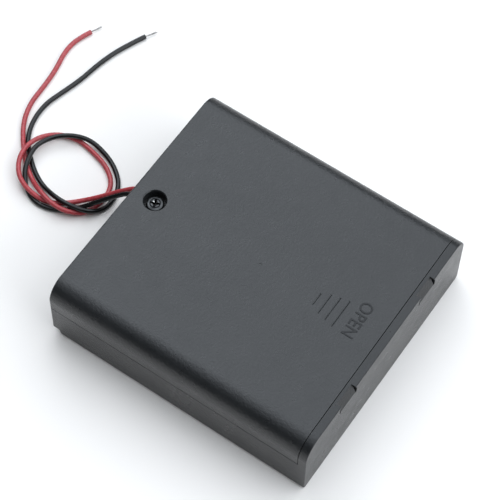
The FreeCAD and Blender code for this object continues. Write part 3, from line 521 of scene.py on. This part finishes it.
def cross_cutter():
    bm = bmesh.new()
    for turn in (0, 90):
        spin = Matrix.Rotation(math.radians(turn + CROSS_TURN), 4, "Z")
        rows = []
        for rise, length, width in CROSS_ENDS:
            x = CROSS_LENGTH / 2 * length
            y = CROSS_WIDTH / 2 * width
            row = []
            for corner in ((-x, -y, 0), (x, -y, 0), (x, y, 0), (-x, y, 0)):
                place = spin @ Vector(corner)
                row.append(((SCREW_X + place.x) * MM, place.y * MM, (HEAD_HIGH + rise) * MM))
            rows.append(row)
        stitch(bm, rows)
    middle = Matrix.Translation((SCREW_X * MM, 0, (HEAD_HIGH - SINK_DEPTH / 2) * MM))
    bmesh.ops.create_cone(bm, cap_ends=True, segments=SINK_SIDES, radius1=SINK_FOOT * SINK_RADIUS * MM,
                          radius2=SINK_RADIUS * MM, depth=SINK_DEPTH * MM, matrix=middle)
    return new_mesh_object("screw_cross_cutter", bm, materials["screw_steel"], False)


def cut_away(obj, cutter):
    # Applies the cut to the mesh itself, and takes the cutter away
    modifier = obj.modifiers.new("cross", "BOOLEAN")
    modifier.operation = "DIFFERENCE"
    modifier.solver = "EXACT"
    modifier.use_self = True
    modifier.object = cutter
    bpy.context.view_layer.update()
    graph = bpy.context.evaluated_depsgraph_get()
    cut = bpy.data.meshes.new_from_object(obj.evaluated_get(graph))
    obj.modifiers.clear()
    obj.data = cut
    bpy.data.objects.remove(cutter)


def colour_recess(mesh):
    # Painted shade in the cross as dark steel, painted glint on the countersink as bright steel
    mesh.materials.append(materials["recess_painted_shade_steel"])
    mesh.materials.append(materials["painted_glint_steel"])
    for polygon in mesh.polygons:
        place = polygon.center
        reach = math.hypot(place.x - SCREW_X * MM, place.y)
        inside = (HEAD_LOW + RECESS_OVER_FOOT) * MM < place.z < (HEAD_HIGH - RECESS_UNDER_TOP) * MM
        if inside and reach < CROSS_LENGTH / 2 * MM:
            slope = GLINT_SLOPES[0] < polygon.normal.z < GLINT_SLOPES[1]
            polygon.material_index = 2 if slope and reach < SINK_RADIUS * MM else 1


def add_head():
    bm = bmesh.new()
    stitch(bm, [screw_ring([radius] * HEAD_SIDES, z) for radius, z in head_profile()])
    head = new_mesh_object("screw_head", bm, materials["screw_steel"], True)
    cut_away(head, cross_cutter())
    head.data.set_sharp_from_angle(angle=math.radians(HEAD_SHARP_ANGLE))
    colour_recess(head.data)
    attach(head, "screw")


def add_springs():
    # Smooth conical coils in the places of the plain ones, wide end on the plate
    last = SPRING_TURNS * SPRING_CORNERS
    for cell in range(CELLS):
        node = "spring_cell_%d" % (cell + 1)
        low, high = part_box(node)
        towards = 1 if cell % 2 == 0 else -1
        base_x = (low.x if towards > 0 else high.x) / MM
        reach = (high.x - low.x) / MM - SPRING_WIRE
        y = (cell - (CELLS - 1) / 2) * CELL_PITCH
        way = []
        for k in range(last + 1):
            angle = 2 * math.pi * k / SPRING_CORNERS
            radius = SPRING_BASE + (SPRING_TIP - SPRING_BASE) * k / last
            x = base_x + towards * (SPRING_WIRE / 2 + reach * k / last)
            way.append((x, y + radius * math.sin(angle), CELL_AXIS_Z + radius * math.cos(angle)))
        name = "coil_%d" % (cell + 1)
        curve = new_wire_curve(name, SPRING_WIRE, SPRING_BEVEL, SPRING_STEPS)
        add_spline(curve, way, SPRING_ORDER)
        obj = new_object(name, curve, materials["spring_wire"])
        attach(obj, "case")
        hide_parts(node)


def add_floor():
    bm = bmesh.new()
    bmesh.ops.create_grid(bm, x_segments=PAPER_SQUARES, y_segments=PAPER_SQUARES, size=PAPER_REACH)
    paper, shader = new_material("floor_paper")
    shader.inputs["Base Color"].default_value = PAPER_COLOR
    shader.inputs["Roughness"].default_value = PAPER_ROUGHNESS
    new_mesh_object("floor", bm, paper, False)


def softbox(name, place, size, power, lean):
    # Tilts about X towards the origin, and leans about Y as told
    data = bpy.data.lights.new(name, "AREA")
    data.shape = "RECTANGLE"
    data.size = size[0]
    data.size_y = size[1]
    data.energy = power
    data.color = LIGHT_COLOR
    obj = bpy.data.objects.new(name, data)
    bpy.context.scene.collection.objects.link(obj)
    obj.location = place
    obj.rotation_euler = (-math.atan2(place[1], place[2]), math.radians(lean), 0)


def add_light():
    world = bpy.data.worlds.new("studio")
    bpy.context.scene.world = world
    world.use_nodes = True
    sky = world.node_tree.nodes["Background"]
    sky.inputs["Color"].default_value = SKY_COLOR
    sky.inputs["Strength"].default_value = SKY_STRENGTH
    for item in LIGHTS:
        softbox(*item)
    bpy.context.scene.view_settings.view_transform = "Standard"


def add_camera():
    right = Vector(CAMERA_RIGHT).normalized()
    back = Vector(CAMERA_BACK).normalized()
    up = back.cross(right).normalized()
    right = up.cross(back)
    data = bpy.data.cameras.new("camera")
    data.sensor_width = SENSOR
    data.lens = CAMERA_LENS
    data.clip_end = CAMERA_REACH
    obj = bpy.data.objects.new("camera", data)
    bpy.context.scene.collection.objects.link(obj)
    turn = Matrix((right, up, back)).transposed().to_4x4()
    obj.matrix_world = Matrix.Translation(CAMERA_PLACE) @ turn
    bpy.context.scene.camera = obj


dress_nodes()
add_leads()
add_wiring()
add_word()
add_shank()
add_head()
add_springs()
add_floor()
add_light()
add_camera()
